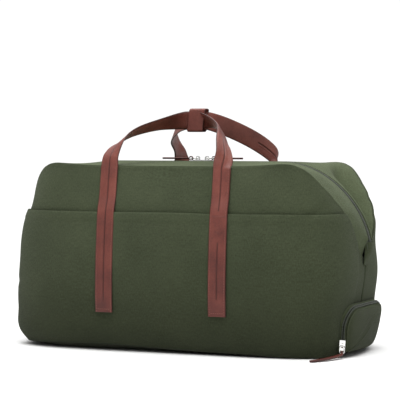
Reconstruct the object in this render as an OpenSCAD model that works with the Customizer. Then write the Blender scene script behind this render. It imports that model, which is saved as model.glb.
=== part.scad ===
// A soft canvas weekend bag with two leather handles, a two-way top zip and a zipped end pocket.
// Millimetres. +X is the end with the pocket, -Y is the front, z = 0 is the floor.

/* [Body] */
// Greatest length of the canvas body
body_length = 584; // [480:1:720]
// Greatest depth of the canvas body, front to back
body_depth = 300; // [250:1:380]
// Height of the walls, from the base seam to the top seam
wall_height = 290; // [240:1:360]
// How far the base hangs below its seam
base_sag = 6; // [5:0.5:12]
// Thickness of the canvas
canvas_t = 2; // [1.4:0.1:2.6]
// Thickness of the lining
lining_t = 1.2; // [0.8:0.1:2]
// Thickness of the stiffening board in the base
board_t = 3; // [2:0.5:5]
// Gap between sewn layers
layer_gap = 0.4; // [0.3:0.05:0.8]

/* [Straps and handles] */
// Width of the leather straps
strap_width = 30; // [22:1:38]
// Thickness of the leather straps
strap_t = 2.6; // [1.8:0.1:3.4]
// Distance between the two straps of a side, centre to centre
strap_pitch = 196; // [150:1:260]
// Height of the lower end of each strap above the base seam
strap_foot = 57; // [30:1:120]
// Height of the handle's middle above the top seam
handle_rise = 73; // [50:1:110]
// Length of the grip wrap along the handle
grip_length = 28; // [20:1:60]
// Depth of each half of the grip wrap
grip_half_depth = 9; // [7:0.5:14]
// Diameter of the press stud on the grip wrap
stud_d = 12; // [8:0.5:16]

/* [Front pocket] */
// Height of the slip pocket's mouth above the base seam, as a share of the wall's height
slip_share = 0.7448; // [0.6:0.0001:0.8]
// Height of the hem round the slip pocket's mouth
hem_height = 12; // [8:1:20]

/* [End pocket] */
// Half the width of the end pocket
pocket_half_width = 86; // [70:1:100]
// Height of the end pocket above the base seam
pocket_height = 74; // [60:1:110]
// Radius of the end pocket's top corners
pocket_corner_r = 36; // [25:1:45]
// How far the end pocket's boxing stands out from the wall
boxing_depth = 10; // [10:0.5:16]
// How far the end pocket's panel crowns beyond its boxing
pocket_crown = 3; // [0:0.5:8]

/* [Zips] */
// Width of one row of zip teeth
row_width = 2; // [1.6:0.1:2.6]
// Height of the zip teeth above the tape
row_height = 2.4; // [1.8:0.1:3]
// Gap between the two rows of teeth, where the slider's post runs
row_gap = 1.4; // [1.2:0.1:2]
// Thickness of the zip tape
tape_t = 1; // [0.6:0.1:1.4]
// Length of a zip slider
slider_length = 16; // [12:0.5:22]
// Length of the metal ring between slider and pull
ring_length = 14; // [13:0.5:20]
// Width of the metal ring
ring_width = 9; // [8:0.5:12]
// Length of a leather zip pull
pull_length = 55; // [30:1:75]
// Width of a leather zip pull
pull_width = 9; // [6:0.5:10]
// Thickness of a leather zip pull
pull_t = 3; // [2:0.1:3.4]

/* [Hidden] */

CANVAS = [0.27, 0.30, 0.22];
CANVAS_LIGHT = [0.36, 0.40, 0.31];
LEATHER = [0.45, 0.24, 0.19];
NICKEL = [0.75, 0.75, 0.74];
NYLON = [0.16, 0.18, 0.13];
LINING_CLOTH = [0.20, 0.21, 0.19];

// The walls' shape: how far each level stands in from the greatest size, by share of the wall height
END_INSET = [[0, 18], [0.05, 7], [0.2, 2], [0.45, 0], [0.58, 2], [0.68, 8], [0.8, 21], [0.9, 36], [1, 52]];
pocket_share = pocket_height / wall_height;
slip_height = slip_share * wall_height;
POCKET_END_INSET = [[0, 18], [0.04, 14], [pocket_share, 9], [0.42, 1], [0.6, 0], [0.72, 7], [0.82, 20],
    [0.92, 38], [1, 52]];
SIDE_INSET = [[0, 18], [0.05, 9], [0.2, 1], [0.4, 0], [0.6, 4], [0.8, 12], [1, 24]];
// Power of the rounded oblong that each level is in plan: higher is squarer
PLAN_POWER = [[0, 5], [0.2, 4.4], [0.5, 3.7], [0.7, 4], [0.85, 4.8], [1, 7]];
// The walls' top edge, by plan angle from the end's centre: share of the wall height
EDGE_RISE = [[0, 0.5], [4, 0.57], [8, 0.65], [13, 0.74], [19, 0.83], [27, 0.92], [36, 0.975], [46, 1],
    [90, 1]];
TIP_ANGLE = 0.0006; // plan angle at which a wall panel stops, a hair from the end's centre
// Stations round a wall panel, as plan angles from the end's centre to the middle of the side
HALF_STATIONS = [TIP_ANGLE, 2, 5, 9, 13, 17.5, 22, 27, 32, 37, 42, 48, 54, 60, 67, 74, 80, 85, 90];
stations = concat([for (a = HALF_STATIONS) -180 + a],
    [for (i = [len(HALF_STATIONS) - 2 : -1 : 0]) -HALF_STATIONS[i]]);
// Rows that every station has, as shares of the wall height
LOW_ROWS = [0, 0.05, 0.15, pocket_share, 0.35, 0.45];
HIGH_ROWS = 5; // rows from there to the panel's top edge

top_z = base_sag + wall_height; // the top seam
track_z = top_z + 4; // the zip tape's upper face along its straight run
shoulder_run = 142; // from the end of the straight run to the body's end
tip_reach = 7; // how far the zip's end stands beyond the body's end
track_half = body_length / 2 - shoulder_run;
tip_x = body_length / 2 + tip_reach;
tip_z = base_sag + wall_height * EDGE_RISE[0][1];
RIDGE_POWER = 1.88; // how square the zip's shoulder is
slit_half = 8; // half the opening between the two gusset strips
tape_edge = 12; // outer edge of a zip tape, from the zip's middle

// ---- the walls ----
function share(z) = (z - base_sag) / wall_height;
function half_length(z, at_pocket) = body_length / 2
    - lookup(share(z), at_pocket ? POCKET_END_INSET : END_INSET);
function half_depth(z) = body_depth / 2 - lookup(share(z), SIDE_INSET);
function plan_power(z) = lookup(share(z), PLAN_POWER);
function signed_power(v, p) = sign(v) * pow(abs(v), p);
function wall_point(angle, z, off) = [
    (half_length(z, cos(angle) > 0) + off) * signed_power(cos(angle), 2 / plan_power(z)),
    (half_depth(z) + off) * signed_power(sin(angle), 2 / plan_power(z)),
    z];
function from_end(angle) = acos(min(1, abs(cos(angle))));
function seam_z(angle) = base_sag + wall_height * lookup(from_end(angle), EDGE_RISE);
// Distance from the middle plane to the wall at a place x along the bag
function wall_y(x, z) = half_depth(z)
    * pow(1 - pow(abs(x) / half_length(z, x > 0), plan_power(z)), 1 / plan_power(z));
// Distance from the middle to the pocket's end wall at a place y across the bag
function wall_x(y, z) = half_length(z, true)
    * pow(1 - pow(abs(y) / half_depth(z), plan_power(z)), 1 / plan_power(z));

// ---- the zip's line over the top and down the shoulders ----
function ridge_turn(x) = asin(min(1,
    pow(max(0, abs(x) - track_half) / (tip_x - track_half), RIDGE_POWER / 2)));
function ridge_point(x) = [x, 0, tip_z + (track_z - tip_z) * pow(cos(ridge_turn(x)), 2 / RIDGE_POWER)];
function ridge_normal(x) = let (
    t = ridge_turn(x),
    nx = pow(sin(t), 2 - 2 / RIDGE_POWER) / (tip_x - track_half),
    nz = pow(cos(t), 2 - 2 / RIDGE_POWER) / (track_z - tip_z))
    [sign(x) * nx, 0, nz] / norm([nx, nz]);
RIDGE_LAST = 84; // the turn at which the zip ends, short of its tip
RIDGE_STEPS = 12; // stations down each shoulder
function ridge_x(turn) = track_half + (tip_x - track_half) * pow(sin(turn), 2 / RIDGE_POWER);
ridge_stations = concat(
    [for (i = [RIDGE_STEPS : -1 : 0]) ridge_x(RIDGE_LAST * i / RIDGE_STEPS)],
    [for (i = [0 : RIDGE_STEPS]) -ridge_x(RIDGE_LAST * i / RIDGE_STEPS)]);

// ---- solids made by carrying a closed outline along stations ----
function ring_faces(rings, sides) = [
    for (i = [0 : rings - 2], j = [0 : sides - 1], half = [0, 1])
        let (a = i * sides + j, b = i * sides + (j + 1) % sides, way_back = j >= sides / 2)
        half == 0 ? [a, b, way_back ? a + sides : b + sides]
            : [way_back ? b : a, b + sides, a + sides]];
// Each outline runs out along one face and back along the other, so its ends close in pairs of points
module skin(rings) {
    sides = len(rings[0]);
    pairs = sides / 2 - 1;
    top = (len(rings) - 1) * sides;
    near = [for (j = [0 : pairs - 1], half = [0, 1])
        half == 0 ? [sides - 1 - j, sides - 2 - j, j + 1] : [sides - 1 - j, j + 1, j]];
    far = [for (j = [0 : pairs - 1], half = [0, 1])
        half == 0 ? [top + j, top + j + 1, top + sides - 2 - j]
            : [top + j, top + sides - 2 - j, top + sides - 1 - j]];
    polyhedron([for (ring = rings, p = ring) p],
        concat(ring_faces(len(rings), sides), near, far), convexity = 10);
}
// Stacked outlines with an end face at the first and the last, each a fan about its middle
module skin_stack(rings) {
    sides = len(rings[0]);
    count = len(rings) * sides;
    ends = [for (ring = [rings[0], rings[len(rings) - 1]])
        [for (axis = [0 : 2]) mean([for (p = ring) p[axis]])]];
    near = [for (j = [0 : sides - 1]) [count, (j + 1) % sides, j]];
    far = [for (j = [0 : sides - 1]) [count + 1, count - sides + j, count - sides + (j + 1) % sides]];
    polyhedron(concat([for (ring = rings, p = ring) p], ends),
        concat(ring_faces(len(rings), sides), near, far), convexity = 10);
}
function mean(values) = values * [for (v = values) 1] / len(values);
// A box section at one station: from w0 to w1 across and from t0 to t1 along the normal
function section(p, across, normal, w0, w1, t0, t1) = [
    p + across * w0 + normal * t0, p + across * w1 + normal * t0,
    p + across * w1 + normal * t1, p + across * w0 + normal * t1];

// ---- canvas ----
function row_heights(top, count) = concat(
    [for (r = LOW_ROWS) base_sag + wall_height * r],
    let (low = base_sag + wall_height * LOW_ROWS[len(LOW_ROWS) - 1])
        [for (k = [1 : count]) low + (top - low) * k / count]);
// A point on the wall panel's own facets, at one of its stations
function facet_point(angle, z, off) = let (
    line = [for (r = row_heights(seam_z(angle), HIGH_ROWS)) wall_point(angle, r, off)])
    [lookup(z, [for (p = line) [p.z, p.x]]), lookup(z, [for (p = line) [p.z, p.y]]), z];
// A sheet that lies along the wall panel up to its top edge or a lower mouth, between two offsets
module wall_sheet(angles, high, count, off_in, off_out) {
    skin([for (angle = angles)
        let (heights = row_heights(min(high, seam_z(angle)), count), last = len(heights) - 1)
        concat(
            [for (z = heights) facet_point(angle, z, off_out)],
            [for (j = [last : -1 : 0]) facet_point(angle, heights[j], off_in)])]);
}
module wall_panel() {
    wall_sheet(stations, top_z, HIGH_ROWS, -canvas_t, 0);
}
module front_panel() {
    color(CANVAS) wall_panel();
}
module back_panel() {
    color(CANVAS) mirror([0, 1, 0]) wall_panel();
}

// A gusset strip's place along the zip that goes with a place along its outer edge
function matching_x(x) = let (end_x = half_length(tip_z, x > 0))
    abs(x) <= track_half ? x
        : sign(x) * min(ridge_x(RIDGE_LAST), track_half + (abs(x) - track_half) * (tip_x - track_half)
            / (end_x - track_half));
// Flat beside the zip as far as the tape reaches, then falling to the wall panel's edge
module gusset() {
    skin([for (i = [len(stations) - 2 : -1 : 1])
        let (
            edge = facet_point(stations[i], seam_z(stations[i]), -canvas_t - layer_gap),
            x = matching_x(edge.x),
            normal = ridge_normal(x),
            lip = ridge_point(x) + [0, -slit_half, 0] + normal * layer_gap,
            knee = lip + [0, slit_half - tape_edge - layer_gap, 0])
        [edge - normal * canvas_t, knee, lip, lip + normal * canvas_t, knee + normal * canvas_t, edge]]);
}
module front_gusset() {
    color(CANVAS_LIGHT) gusset();
}
module rear_gusset() {
    color(CANVAS_LIGHT) mirror([0, 1, 0]) gusset();
}

PLAN_SIDES = 72; // corners of a plan outline
function plan_outline(z, off) = [for (i = [0 : PLAN_SIDES - 1])
    let (p = wall_point(360 * i / PLAN_SIDES + TIP_ANGLE, z, off)) [p.x, p.y]];
// The base hangs below its seam in three soft steps
BASE_STEPS = [[0, 26], [0.3, 11], [0.65, 4]];
module base_panel() {
    color(CANVAS) for (i = [0 : len(BASE_STEPS) - 1])
        translate([0, 0, base_sag * BASE_STEPS[i][0]])
            linear_extrude(base_sag * (i < 2 ? BASE_STEPS[i + 1][0] : 1) - base_sag * BASE_STEPS[i][0])
                polygon(plan_outline(base_sag, -BASE_STEPS[i][1]));
}

board_inset = 26; // from the wall to the board's edge
board_z = base_sag + layer_gap;
module base_board() {
    color(LINING_CLOTH) translate([0, 0, board_z])
        linear_extrude(board_t) polygon(plan_outline(base_sag, -board_inset));
}

LINING_INSET = 6.5; // from the wall to the lining
LINING_DROP = 14; // from the walls' top edge down to the lining's edge
LINING_ROWS = 7; // rows up the lining
lining_floor = board_z + board_t + layer_gap;
function lining_ring(part, floor_z, off) = [for (i = [0 : PLAN_SIDES - 1])
    let (angle = 360 * i / PLAN_SIDES + TIP_ANGLE)
    wall_point(angle, floor_z + (seam_z(angle) - LINING_DROP - floor_z) * part, off)];
module lining() {
    color(LINING_CLOTH) skin_stack(concat(
        [for (j = [0 : LINING_ROWS])
            lining_ring(j / LINING_ROWS, lining_floor + lining_t, -LINING_INSET - lining_t)],
        [for (j = [LINING_ROWS : -1 : 0]) lining_ring(j / LINING_ROWS, lining_floor, -LINING_INSET)]));
}

// ---- slip pocket on the front ----
SLIP_FIRST = 2; // the wall panel's station at which the slip pocket is sewn down at each end
SLIP_ROWS = 3; // rows from the common ones to its mouth
SLIP_GAP = 1; // it lies a little more loosely on the wall than the sewn layers
slip_stations = [for (i = [SLIP_FIRST : len(stations) - 1 - SLIP_FIRST]) stations[i]];
module slip_pocket() {
    color(CANVAS) wall_sheet(slip_stations, base_sag + slip_height - hem_height, SLIP_ROWS,
        SLIP_GAP, SLIP_GAP + canvas_t);
}
HEM_EXTRA = 1; // the folded hem is this much thicker than the canvas
hem_end = max(HALF_STATIONS[SLIP_FIRST],
    lookup(slip_height / wall_height, [for (e = EDGE_RISE) if (e[0] < 90) [e[1], e[0]]]));
hem_stations = concat([hem_end - 180], [for (a = stations) if (from_end(a) > hem_end + 1) a], [-hem_end]);
slip_top = base_sag + slip_height;
module slip_pocket_hem() {
    low = slip_top - hem_height + layer_gap;
    outer = SLIP_GAP + canvas_t + HEM_EXTRA;
    color(CANVAS) skin([for (angle = hem_stations)
        [facet_point(angle, low, outer), facet_point(angle, slip_top, outer),
            facet_point(angle, slip_top, SLIP_GAP), facet_point(angle, low, SLIP_GAP)]]);
}

// ---- top zip ----
// A strip beside the zip's middle, on the front (side -1) or the rear (side 1)
module along_ridge(side, inner, outer, low, high) {
    near = side > 0 ? inner : -outer;
    far = side > 0 ? outer : -inner;
    skin([for (x = ridge_stations)
        section(ridge_point(x), [0, 1, 0], ridge_normal(x), near, far, low, high)]);
}
module zip_tape(side) {
    color(CANVAS) along_ridge(side, row_gap / 2, tape_edge, -tape_t, 0);
}
TEETH_LIFT = 0.15; // from the tape's face to the underside of the teeth
module zip_teeth(side) {
    color(NYLON) along_ridge(side, row_gap / 2, row_gap / 2 + row_width, TEETH_LIFT, row_height);
}
STOP_SIZE = [1.6, 20, 16]; // a folded canvas tab over the zip's end
module zip_stop(side) {
    turn = RIDGE_LAST;
    x = ridge_x(turn);
    foot = ridge_point(x);
    color(CANVAS)
        translate([side * (foot.x + row_height + layer_gap), 0, foot.z - STOP_SIZE.z / 2 - layer_gap])
        translate([side > 0 ? 0 : -STOP_SIZE.x, -STOP_SIZE.y / 2, 0]) cube(STOP_SIZE);
}

// ---- straps sewn to the walls ----
strap_rise = SLIP_GAP + canvas_t + HEM_EXTRA + layer_gap; // how far a strap stands out over the slip pocket
strap_low = base_sag + strap_foot;
strap_top = top_z - 0.6;
HEM_STEP = 12; // height over which a strap drops from the hem back to the wall
strap_heights = concat(
    [for (j = [0 : 9]) strap_low + (slip_top + 1 - strap_low) * j / 9],
    [for (j = [0 : 4]) slip_top + HEM_STEP + (strap_top - slip_top - HEM_STEP) * j / 4]);
function strap_off(z, side) = side > 0 || z > slip_top + 2 ? layer_gap : strap_rise;
function strap_face(z, side, x, t) = side * (wall_y(x, z) + strap_off(z, side) + t);
module strap(side_x, side_y) {
    inner_x = (strap_pitch - strap_width) / 2;
    last = len(strap_heights) - 1;
    outline = concat(
        [for (z = strap_heights) [strap_face(z, side_y, inner_x, 0), z]],
        [for (j = [last : -1 : 0])
            [strap_face(strap_heights[j], side_y, inner_x, strap_t), strap_heights[j]]]);
    color(LEATHER) translate([side_x > 0 ? inner_x : -inner_x - strap_width, 0, 0])
        rotate([90, 0, 90]) linear_extrude(strap_width) polygon(outline);
}

// ---- handles ----
root_y = wall_y((strap_pitch - strap_width) / 2, top_z) + layer_gap + strap_t / 2;
handle_gap = 0.4; // between the two handles' grain faces where they meet
meet_y = handle_gap + strap_t / 2;
// One half of the handle's middle line, root to grip: distance in from the root along x and y, and height
// above the top seam as a share of the rise
HANDLE_ROUTE = [[0, 0, 0.035], [2, 5, 0.23], [10, 22, 0.49], [26, 51, 0.72], [50, 89, 0.9]];
// Which way its grain face looks at each point: degrees round from straight out, and degrees up
HANDLE_FACING = [0, 30, 70, 105, 145, 180, 180];
HANDLE_TILT = [0, 8, 20, 35, 35, 0, 0];
handle_points = concat(
    [for (p = HANDLE_ROUTE) [strap_pitch / 2 - p.x, -root_y + p.y, top_z + p.z * handle_rise]],
    [[grip_length / 2 + 4, -meet_y, top_z + handle_rise], [0, -meet_y, top_z + handle_rise]]);
HANDLE_SPANS = len(handle_points) - 1;
HANDLE_STEPS = 5; // stations in each span
function route_point(i) = i < 0 ? 2 * handle_points[0] - handle_points[1]
    : i > HANDLE_SPANS ? [-handle_points[2 * HANDLE_SPANS - i].x, handle_points[2 * HANDLE_SPANS - i].y,
        handle_points[2 * HANDLE_SPANS - i].z]
    : handle_points[i];
// A smooth curve through the points: each span is a cubic that leaves along the line of its neighbours;
// it stops short of the middle plane, where the two handles lie face to face
function route_at(s) = let (i = min(floor(s), HANDLE_SPANS - 1), f = s - i,
    a = route_point(i - 1), b = route_point(i), c = route_point(i + 1), d = route_point(i + 2),
    p = b + f / 2 * (c - a) + f * f / 2 * (2 * a - 5 * b + 4 * c - d)
        + f * f * f / 2 * (-a + 3 * b - 3 * c + d))
    [p.x, min(-meet_y, p.y), min(top_z + handle_rise, p.z)];
function between(list, s) = let (i = min(floor(s), len(list) - 2))
    list[i] + (list[i + 1] - list[i]) * (s - i);
function unit(v) = v / norm(v);
function handle_section(s) = let (
    at = route_at(s),
    along = unit(route_at(min(HANDLE_SPANS, s + 0.02)) - route_at(max(0, s - 0.02))),
    turn = between(HANDLE_FACING, s),
    tilt = between(HANDLE_TILT, s),
    look = [sin(turn) * cos(tilt), -cos(turn) * cos(tilt), sin(tilt)],
    normal = unit(look - along * (look * along)),
    across = cross(along, normal))
    section(at, across, normal, -strap_width / 2, strap_width / 2, -strap_t / 2, strap_t / 2);
function mirrored(ring) = [for (p = ring) [-p.x, p.y, p.z]];
module handle_loop() {
    last = HANDLE_SPANS * HANDLE_STEPS;
    rights = [for (i = [0 : last]) handle_section(i / HANDLE_STEPS)];
    skin(concat(rights, [for (i = [last - 1 : -1 : 0]) mirrored(rights[i])]));
}
module front_handle() {
    color(LEATHER) handle_loop();
}
module rear_handle() {
    color(LEATHER) rotate([0, 0, 180]) handle_loop();
}

grip_wall = 2.6; // leather above and below the strap inside the wrap
module grip_half() {
    slot = handle_gap + strap_t + 0.1;
    translate([0, 0, top_z + handle_rise]) difference() {
        translate([-grip_length / 2, -grip_half_depth, -strap_width / 2 - grip_wall])
            cube([grip_length, grip_half_depth - handle_gap / 2, strap_width + 2 * grip_wall]);
        translate([-grip_length / 2 - 1, -slot, -strap_width / 2 - 0.2])
            cube([grip_length + 2, slot + 1, strap_width + 0.4]);
    }
}
module front_grip() {
    color(LEATHER) grip_half();
}
module rear_grip() {
    color(LEATHER) rotate([0, 0, 180]) grip_half();
}
stud_height = 2.2;
module grip_stud() {
    color(NICKEL) translate([0, grip_half_depth, top_z + handle_rise])
        rotate([-90, 0, 0]) cylinder(h = stud_height, d = stud_d, $fn = 48);
}

// ---- zip sliders, rings and pulls, each made lying flat with the pull towards +X ----
slider_gap = 0.5; // clearance between a slider and the teeth and tape
plate_t = 1.2;
slider_width = row_gap + 2 * row_width + 2 * slider_gap + 2 * plate_t;
top_plate_z = row_height + slider_gap;
low_plate_t = 1;
low_plate_z = -tape_t - slider_gap - low_plate_t;
low_plate_width = row_gap + 2 * row_width;
post_t = row_gap - 2 * 0.35;
bail_hole_r = 2.3;
bail_wall = 1.5;
bail_t = 2.4;
bail_z = top_plate_z + plate_t + bail_hole_r + 0.3;
ring_bar = 1.8;
module slider() {
    translate([-slider_length / 2, -slider_width / 2, top_plate_z])
        cube([slider_length, slider_width, plate_t]);
    translate([-slider_length / 2, -low_plate_width / 2, low_plate_z])
        cube([slider_length, low_plate_width, low_plate_t]);
    translate([-slider_length / 2, -post_t / 2, low_plate_z])
        cube([slider_length / 4, post_t, top_plate_z + plate_t - low_plate_z]);
    for (s = [-1, 1])
        translate([-slider_length / 2, s * (slider_width - plate_t) / 2 - plate_t / 2, slider_gap])
        cube([slider_length, plate_t, top_plate_z]);
    difference() {
        union() {
            translate([0, bail_t / 2, bail_z]) rotate([90, 0, 0])
                cylinder(h = bail_t, r = bail_hole_r + bail_wall, $fn = 48);
            translate([-bail_hole_r - bail_wall, -bail_t / 2, top_plate_z])
                cube([2 * (bail_hole_r + bail_wall), bail_t, bail_z - top_plate_z]);
        }
        translate([0, bail_t / 2 + 1, bail_z]) rotate([90, 0, 0])
            cylinder(h = bail_t + 2, r = bail_hole_r, $fn = 48);
    }
}
// A flat ring with round ends; its near bar passes through the bail
ring_reach = ring_length - ring_bar; // from the near bar's middle to the far bar's middle
module stadium(length, width) {
    translate([width / 2, 0]) circle(d = width, $fn = 40);
    translate([length - width / 2, 0]) circle(d = width, $fn = 40);
    translate([width / 2, -width / 2]) square([length - width, width]);
}
module ring() {
    translate([-ring_bar / 2, 0, bail_z - ring_bar / 2]) linear_extrude(ring_bar) difference() {
        stadium(ring_length, ring_width);
        translate([ring_bar, 0]) stadium(ring_length - 2 * ring_bar, ring_width - 2 * ring_bar);
    }
}
// A leather strip folded over the ring's far bar
fold_hole_r = 2.2;
fold_r = 3.7;
fold_width = ring_width - 2 * ring_bar - 2;
module pull() {
    translate([ring_reach, 0, bail_z]) {
        difference() {
            translate([0, fold_width / 2, 0]) rotate([90, 0, 0])
                cylinder(h = fold_width, r = fold_r, $fn = 40);
            translate([0, fold_width / 2 + 1, 0]) rotate([90, 0, 0])
                cylinder(h = fold_width + 2, r = fold_hole_r, $fn = 40);
        }
        translate([fold_r - 0.6, -pull_width / 2, -pull_t / 2]) cube([pull_length - fold_r - pull_width / 2,
            pull_width, pull_t]);
        translate([pull_length - 0.6 - pull_width / 2, 0, -pull_t / 2])
            cylinder(h = pull_t, d = pull_width, $fn = 40);
    }
}
meeting_x = 8; // where the two top sliders meet
slider_apart = 0.4;
slider_rest = slider_length / 2 + slider_apart / 2;
module at_top(side) {
    translate([meeting_x + side * slider_rest, 0, track_z]) rotate([0, 0, side > 0 ? 0 : 180]) children();
}
module top_slider(side) {
    color(NICKEL) at_top(side) slider();
}
module top_ring(side) {
    color(NICKEL) at_top(side) ring();
}
module top_pull(side) {
    color(LEATHER) at_top(side) pull();
}

// ---- end pocket ----
// Its boxing follows an arch with straight sides, walked from the front foot over the top to the rear foot
pocket_foot = base_sag + 4;
pocket_top = base_sag + pocket_height;
corner_z = pocket_top - pocket_corner_r;
corner_y = pocket_half_width - pocket_corner_r;
side_lean = 3; // how far the boxing leans in at the sides
top_lean = 7; // and over the top
ARCH_STEPS = 6; // stations round each corner
FOOT_STEPS = 3; // stations up each straight side
// Each station: y, z, and the outward direction in the end's plane
arch = concat(
    [for (i = [0 : FOOT_STEPS - 1])
        [-pocket_half_width, pocket_foot + (corner_z - pocket_foot) * i / FOOT_STEPS, -1, 0]],
    [for (i = [0 : ARCH_STEPS]) let (t = 90 * i / ARCH_STEPS)
        [-corner_y - pocket_corner_r * cos(t), corner_z + pocket_corner_r * sin(t), -cos(t), sin(t)]],
    [for (i = [-2 : 2]) [corner_y * i / 3, pocket_top, 0, 1]],
    [for (i = [ARCH_STEPS : -1 : 0]) let (t = 90 * i / ARCH_STEPS)
        [corner_y + pocket_corner_r * cos(t), corner_z + pocket_corner_r * sin(t), cos(t), sin(t)]],
    [for (i = [FOOT_STEPS - 1 : -1 : 0])
        [pocket_half_width, pocket_foot + (corner_z - pocket_foot) * i / FOOT_STEPS, 1, 0]]);
// The boxing stands on a sheet that follows the end wall across, straight up and down and leaning out a
// little, clear of the slip pocket's canvas that runs in under its front side
STAND_SLOPE_MOST = 0.06;
STAND_SLACK = 0.25; // how much nearer the wall the boxing may come below its top
stand_slope = min([for (z = [pocket_foot : 4 : pocket_top - 20])
    min(STAND_SLOPE_MOST, (wall_x(-pocket_half_width, pocket_top) - wall_x(-pocket_half_width, z)
        + STAND_SLACK) / (pocket_top - z))]);
over_slip = SLIP_GAP + canvas_t + 2 * layer_gap;
function stand_x(y, z) = wall_x(y, pocket_top) + over_slip - stand_slope * (pocket_top - z);
slip_reach = wall_point(slip_stations[0], pocket_top, 0).y + 3; // where the slip pocket stops under it
function foot_gap(station) = max(0, stand_x(station[0], station[1]) - wall_x(station[0], station[1])
    - (station[0] < slip_reach ? over_slip + 2 * layer_gap : layer_gap));
function lean(station) = side_lean + (top_lean - side_lean) * max(0, station[3]);
function boxing_point(station, out) = let (inset = lean(station) * out / boxing_depth)
    [stand_x(station[0], station[1]) + out,
        station[0] - station[2] * inset,
        station[1] - station[3] * inset];
function boxing_across(station) = unit(boxing_point(station, 1) - boxing_point(station, 0));
function boxing_normal(station) = let (slope = lean(station) / boxing_depth)
    unit([slope, station[2], station[3]]);
zip_out = boxing_depth / 2; // the zip runs along the middle of the boxing
module along_arch(inner, outer, low, high) {
    skin([for (i = [len(arch) - 1 : -1 : 0])
        let (station = arch[i])
        section(boxing_point(station, zip_out), boxing_across(station), boxing_normal(station),
            outer, inner - (inner < -zip_out + 1 ? foot_gap(station) : 0), low, high)]);
}
strip_edge = boxing_depth / 2 - 0.3;
module pocket_boxing_inner() {
    color(CANVAS_LIGHT) along_arch(-strip_edge, -row_gap / 2, -tape_t, 0);
}
module pocket_boxing_outer() {
    color(CANVAS_LIGHT) along_arch(row_gap / 2, strip_edge, -tape_t, 0);
}
module pocket_teeth_inner() {
    color(NYLON) along_arch(-row_gap / 2 - row_width, -row_gap / 2, TEETH_LIFT, row_height);
}
module pocket_teeth_outer() {
    color(NYLON) along_arch(row_gap / 2, row_gap / 2 + row_width, TEETH_LIFT, row_height);
}
// The panel crowns outwards: its rings shrink from the rim towards the middle
PANEL_RINGS = [0.12, 0.35, 0.6, 0.85, 1];
panel_mid_z = pocket_foot + (pocket_top - pocket_foot) * 0.45;
RIM_FOOT_STEPS = 5;
rim = concat(arch, [for (i = [RIM_FOOT_STEPS - 1 : -1 : 1 - RIM_FOOT_STEPS])
    [pocket_half_width * i / RIM_FOOT_STEPS, pocket_foot, 0, -1]]);
function panel_point(station, k, lift) = let (
    y = (station[0] - station[2] * lean(station)) * k,
    z = panel_mid_z + (station[1] - max(0, station[3]) * lean(station) - panel_mid_z) * k)
    [stand_x(y, z) + boxing_depth + layer_gap + lift + pocket_crown * (1 - k * k), y, z];
module pocket_panel() {
    last = len(PANEL_RINGS) - 1;
    color(CANVAS) skin_stack(concat(
        [for (i = [0 : last]) [for (s = rim) panel_point(s, PANEL_RINGS[i], 0)]],
        [for (i = [last : -1 : 0]) [for (s = rim) panel_point(s, PANEL_RINGS[i], canvas_t)]]));
}
// The slider rests near the foot of the front side; its pull hangs down and lies out on the floor
slider_z = pocket_foot + slider_length / 2 + 2;
side_station = [-pocket_half_width, slider_z, -1, 0];
side_turn = atan(side_lean / boxing_depth); // how far the boxing's face is turned towards the end
slider_tilt = atan(stand_slope); // how far the slider leans with the boxing
module at_pocket() {
    translate(boxing_point(side_station, zip_out)) rotate([0, 0, side_turn])
        rotate([90, 90 + slider_tilt, 0]) children();
}
module pocket_slider() {
    color(NICKEL) at_pocket() slider();
}
module pocket_ring() {
    color(NICKEL) at_pocket() ring();
}
// The long pull of the end pocket: a fold round the ring, then a strip that runs forward and down
ring_up = [sin(slider_tilt) * cos(side_turn), sin(slider_tilt) * sin(side_turn), cos(slider_tilt)];
hang = boxing_point(side_station, zip_out) + boxing_normal(side_station) * bail_z - ring_up * ring_reach;
away = boxing_normal(side_station);
pull_route = [
    hang + away * 3.4,
    hang + away * 8 - [0, 0, 1.2],
    [hang.x - 4, hang.y - 24, pull_t / 2 + 3],
    [hang.x - 12, hang.y - 44, pull_t / 2 + 1.6],
    [hang.x - 24, hang.y - 66, pull_t / 2 + 0.3]];
module pocket_pull() {
    color(LEATHER) {
        translate(hang) rotate([0, slider_tilt, side_turn]) difference() {
            translate([-fold_width / 2, 0, 0]) rotate([0, 90, 0])
                cylinder(h = fold_width, r = fold_r, $fn = 40);
            translate([-fold_width / 2 - 1, 0, 0]) rotate([0, 90, 0])
                cylinder(h = fold_width + 2, r = fold_hole_r, $fn = 40);
        }
        skin([for (i = [0 : len(pull_route) - 1])
            let (
                along = unit(pull_route[min(len(pull_route) - 1, i + 1)] - pull_route[max(0, i - 1)]),
                across = unit(cross(along, [0, 0, 1])),
                half = (i == 0 ? fold_width : pull_width) / 2)
            section(pull_route[i], across, cross(across, along), -half, half, -pull_t / 2, pull_t / 2)]);
    }
}

front_panel();
back_panel();
front_gusset();
rear_gusset();
base_panel();
base_board();
lining();
slip_pocket();
slip_pocket_hem();
zip_tape(-1);  // zip_tape_front
zip_tape(1);  // zip_tape_rear
zip_teeth(-1);  // zip_teeth_front
zip_teeth(1);  // zip_teeth_rear
zip_stop(-1);  // zip_stop_left
zip_stop(1);  // zip_stop_right
strap(-1, -1);  // front_strap_left
strap(1, -1);  // front_strap_right
strap(-1, 1);  // rear_strap_left
strap(1, 1);  // rear_strap_right
front_handle();
rear_handle();
front_grip();
rear_grip();
grip_stud();
top_slider(-1);  // top_slider_left
top_slider(1);  // top_slider_right
top_ring(-1);  // top_ring_left
top_ring(1);  // top_ring_right
top_pull(-1);  // top_pull_left
top_pull(1);  // top_pull_right
pocket_panel();
pocket_boxing_inner();
pocket_boxing_outer();
pocket_teeth_inner();
pocket_teeth_outer();
pocket_slider();
pocket_ring();
pocket_pull();
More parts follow.
